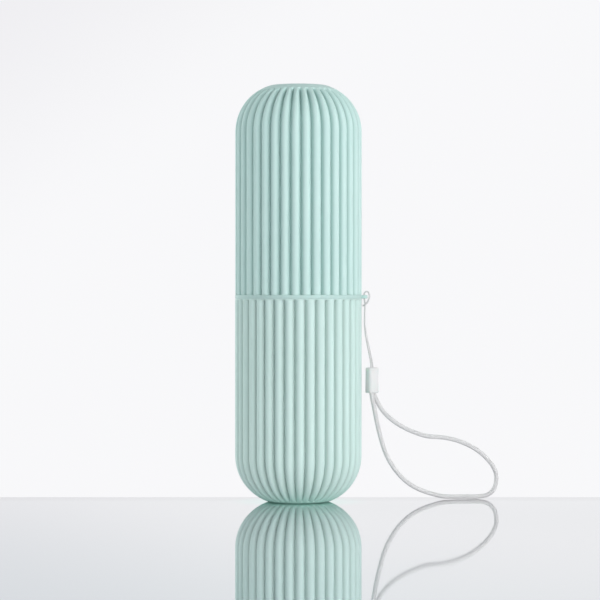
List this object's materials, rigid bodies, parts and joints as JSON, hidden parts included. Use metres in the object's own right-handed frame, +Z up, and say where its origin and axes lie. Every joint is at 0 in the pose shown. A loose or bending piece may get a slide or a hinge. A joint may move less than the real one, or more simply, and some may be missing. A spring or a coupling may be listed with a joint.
{
  "type": "toothbrush travel case",
  "caption": "Ribbed capsule-shaped toothbrush travel case: a cap pulls off a cup at a plain coupling ring, with an inner divider and a thin wrist lanyard.",
  "frame": {"origin": "centre of the flat base that the case stands on", "axes": "+Z up along the case's own axis from base to cap, +X towards the coupling ring's ear and lanyard"},
  "size_m": [0.1315, 0.063, 0.207],
  "materials": {
    "case_plastic": "mint green polypropylene, fine satin grain",
    "ring_plastic": "mint green polypropylene, plain satin",
    "divider_plastic": "mint green polypropylene, plain satin",
    "string": "thin braided pale grey string",
    "sleeve_plastic": "white moulded plastic",
    "loop_cord": "slim braided pale grey cord"
  },
  "bodies": {
    "lower_body": {"lower_case": "case_plastic"},
    "ring_body": {"coupling_ring": "ring_plastic", "lanyard_string": "string", "lanyard_sleeve": "sleeve_plastic", "wrist_loop": "loop_cord"},
    "cap_body": {"cap": "case_plastic"},
    "divider_body": {"divider": "divider_plastic"}
  },
  "joints": [
    {"name": "ring_turn", "type": "hinge", "parent": "lower_body", "child": "ring_body", "pos_m": [0, 0, 0.1019], "axis": [0, 0, 1], "continuous": true},
    {"name": "cap_pull", "type": "slide", "parent": "ring_body", "child": "cap_body", "axis": [0, 0, 1], "range_m": [0, 0.12]},
    {"name": "divider_lift", "type": "slide", "parent": "lower_body", "child": "divider_body", "axis": [0, 0, 1], "range_m": [0, 0.1]}
  ]
}
